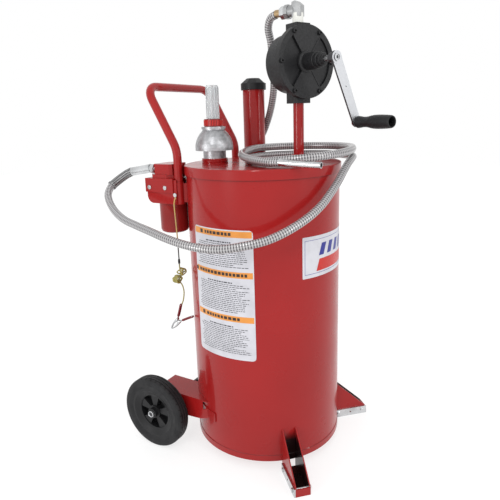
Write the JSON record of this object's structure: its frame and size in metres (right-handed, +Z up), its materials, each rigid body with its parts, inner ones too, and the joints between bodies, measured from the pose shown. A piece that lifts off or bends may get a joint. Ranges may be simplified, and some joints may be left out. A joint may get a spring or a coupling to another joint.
{
  "type": "gear oil pump",
  "caption": "Upright wheeled oil tank with a hand-cranked rotary gear pump, spin-on filter, level gauge, coiled delivery hose, push handle and grounding clip.",
  "frame": {"origin": "on the floor, under the centre of the whole object's bounding box measured without the free hose and the ground wire", "axes": "+Z up, -Y towards the crank and the feet, +Y towards the handle and the wheels, X along the wheel axle"},
  "size_m": [0.5578, 0.7343, 1.172],
  "materials": {
    "paint_red": "gloss enamel",
    "pump_black": "semi-gloss enamel on cast iron",
    "black_bolt": "black oxide",
    "zinc": "bright zinc plate",
    "pipe_steel": "plain pipe",
    "gear_steel": "machined",
    "elbow_zinc": "dull zinc on malleable iron",
    "tape_white": "thread tape",
    "brass": "machined",
    "bronze": "sintered bronze",
    "hose_clear": "clear jacket over a steel wire spiral",
    "packing": "braided packing",
    "tyre": "satin",
    "plastic_black": "moulded",
    "grip_black": "moulded",
    "nut_red": "moulded",
    "clear": "clear plastic",
    "cast_alu": "die cast",
    "paper": "pleated paper",
    "float": "nitrile float",
    "wire_clear": "clear jacket over copper"
  },
  "bodies": {
    "frame": {"tank_wall": "paint_red", "tank_top_plate": "paint_red", "tank_bottom": "paint_red", "tank_bungs": "paint_red", "gauge_nipple": "cast_alu", "vent_dome": "cast_alu", "gauge_nut": "nut_red", "gauge_tube": "clear", "filler_pipe": "paint_red", "riser_pipe": "paint_red", "suction_pipe": "pipe_steel", "suction_strainer": "pipe_steel", "pump_body": "pump_black", "pump_cover": "pump_black", "cover_bolts": "black_bolt", "shaft_bushes": "bronze", "shaft_packing": "packing", "gland_nut": "pump_black", "outlet_nipple": "tape_white", "outlet_elbow": "elbow_zinc", "hose_nut": "zinc", "hose_tail": "brass", "pump_hose": "hose_clear", "filter_inlet": "brass", "filter_head": "paint_red", "filter_bracket": "paint_red", "filter_screws": "zinc", "filter_canister": "paint_red", "filter_element": "paper", "outlet_adapter": "zinc", "hose_ferrule": "zinc", "spring_guard": "zinc", "delivery_hose": "hose_clear", "delivery_coil": "hose_clear", "spout_ferrule": "zinc", "hose_spout": "zinc", "handle_tube": "paint_red", "handle_sockets": "paint_red", "frame_bolts": "zinc", "axle_brackets": "paint_red", "axle": "zinc", "axle_caps": "zinc", "legs": "paint_red", "foot_bars": "zinc", "ground_wire": "wire_clear", "clip_jaw": "zinc"},
    "crank": {"pump_shaft": "gear_steel", "drive_gear": "gear_steel", "crank_arm": "zinc", "grip_spindle": "zinc"},
    "grip": {"crank_grip": "grip_black"},
    "idler": {"idler_gear": "gear_steel"},
    "left_wheel": {"tyre_left": "tyre", "rim_left": "plastic_black"},
    "right_wheel": {"tyre_right": "tyre", "rim_right": "plastic_black"},
    "cap": {"filler_cap": "plastic_black"},
    "level_float": {"float_rod": "nut_red", "gauge_float": "float"},
    "clip": {"clip_lever": "zinc"}
  },
  "joints": [
    {"name": "crank_turn", "type": "hinge", "parent": "frame", "child": "crank", "pos_m": [0.015, -0.0921, 1.03], "axis": [-0.4226, -0.9063, 0], "continuous": true},
    {"name": "idler_turn", "type": "hinge", "parent": "frame", "child": "idler", "pos_m": [0.05044, -0.10862, 1.03], "axis": [-0.4226, -0.9063, 0], "continuous": true},
    {"name": "grip_turn", "type": "hinge", "parent": "crank", "child": "grip", "pos_m": [0.07628, -0.12068, 0.88499], "axis": [-0.4226, -0.9063, 0], "continuous": true},
    {"name": "left_wheel_turn", "type": "hinge", "parent": "frame", "child": "left_wheel", "pos_m": [-0.222, 0.2459, 0.1016], "axis": [1, 0, 0], "continuous": true},
    {"name": "right_wheel_turn", "type": "hinge", "parent": "frame", "child": "right_wheel", "pos_m": [0.222, 0.2459, 0.1016], "axis": [1, 0, 0], "continuous": true},
    {"name": "cap_lift", "type": "slide", "parent": "frame", "child": "cap", "axis": [0, 0, 1], "range_m": [0, 0.06]},
    {"name": "float_rise", "type": "slide", "parent": "frame", "child": "level_float", "axis": [0, 0, 1], "range_m": [0, 0.055]},
    {"name": "clip_open", "type": "hinge", "parent": "frame", "child": "clip", "pos_m": [-0.157, 0.1994, 0.358], "axis": [-0.9877, -0.1564, 0], "range_deg": [0, 18], "stiffness_Nm_per_rad": 0.6, "springref_deg": -22.92}
  ],
  "couplings": [
    {"joint": "idler_turn", "follows": "crank_turn", "ratio": -1}
  ]
}
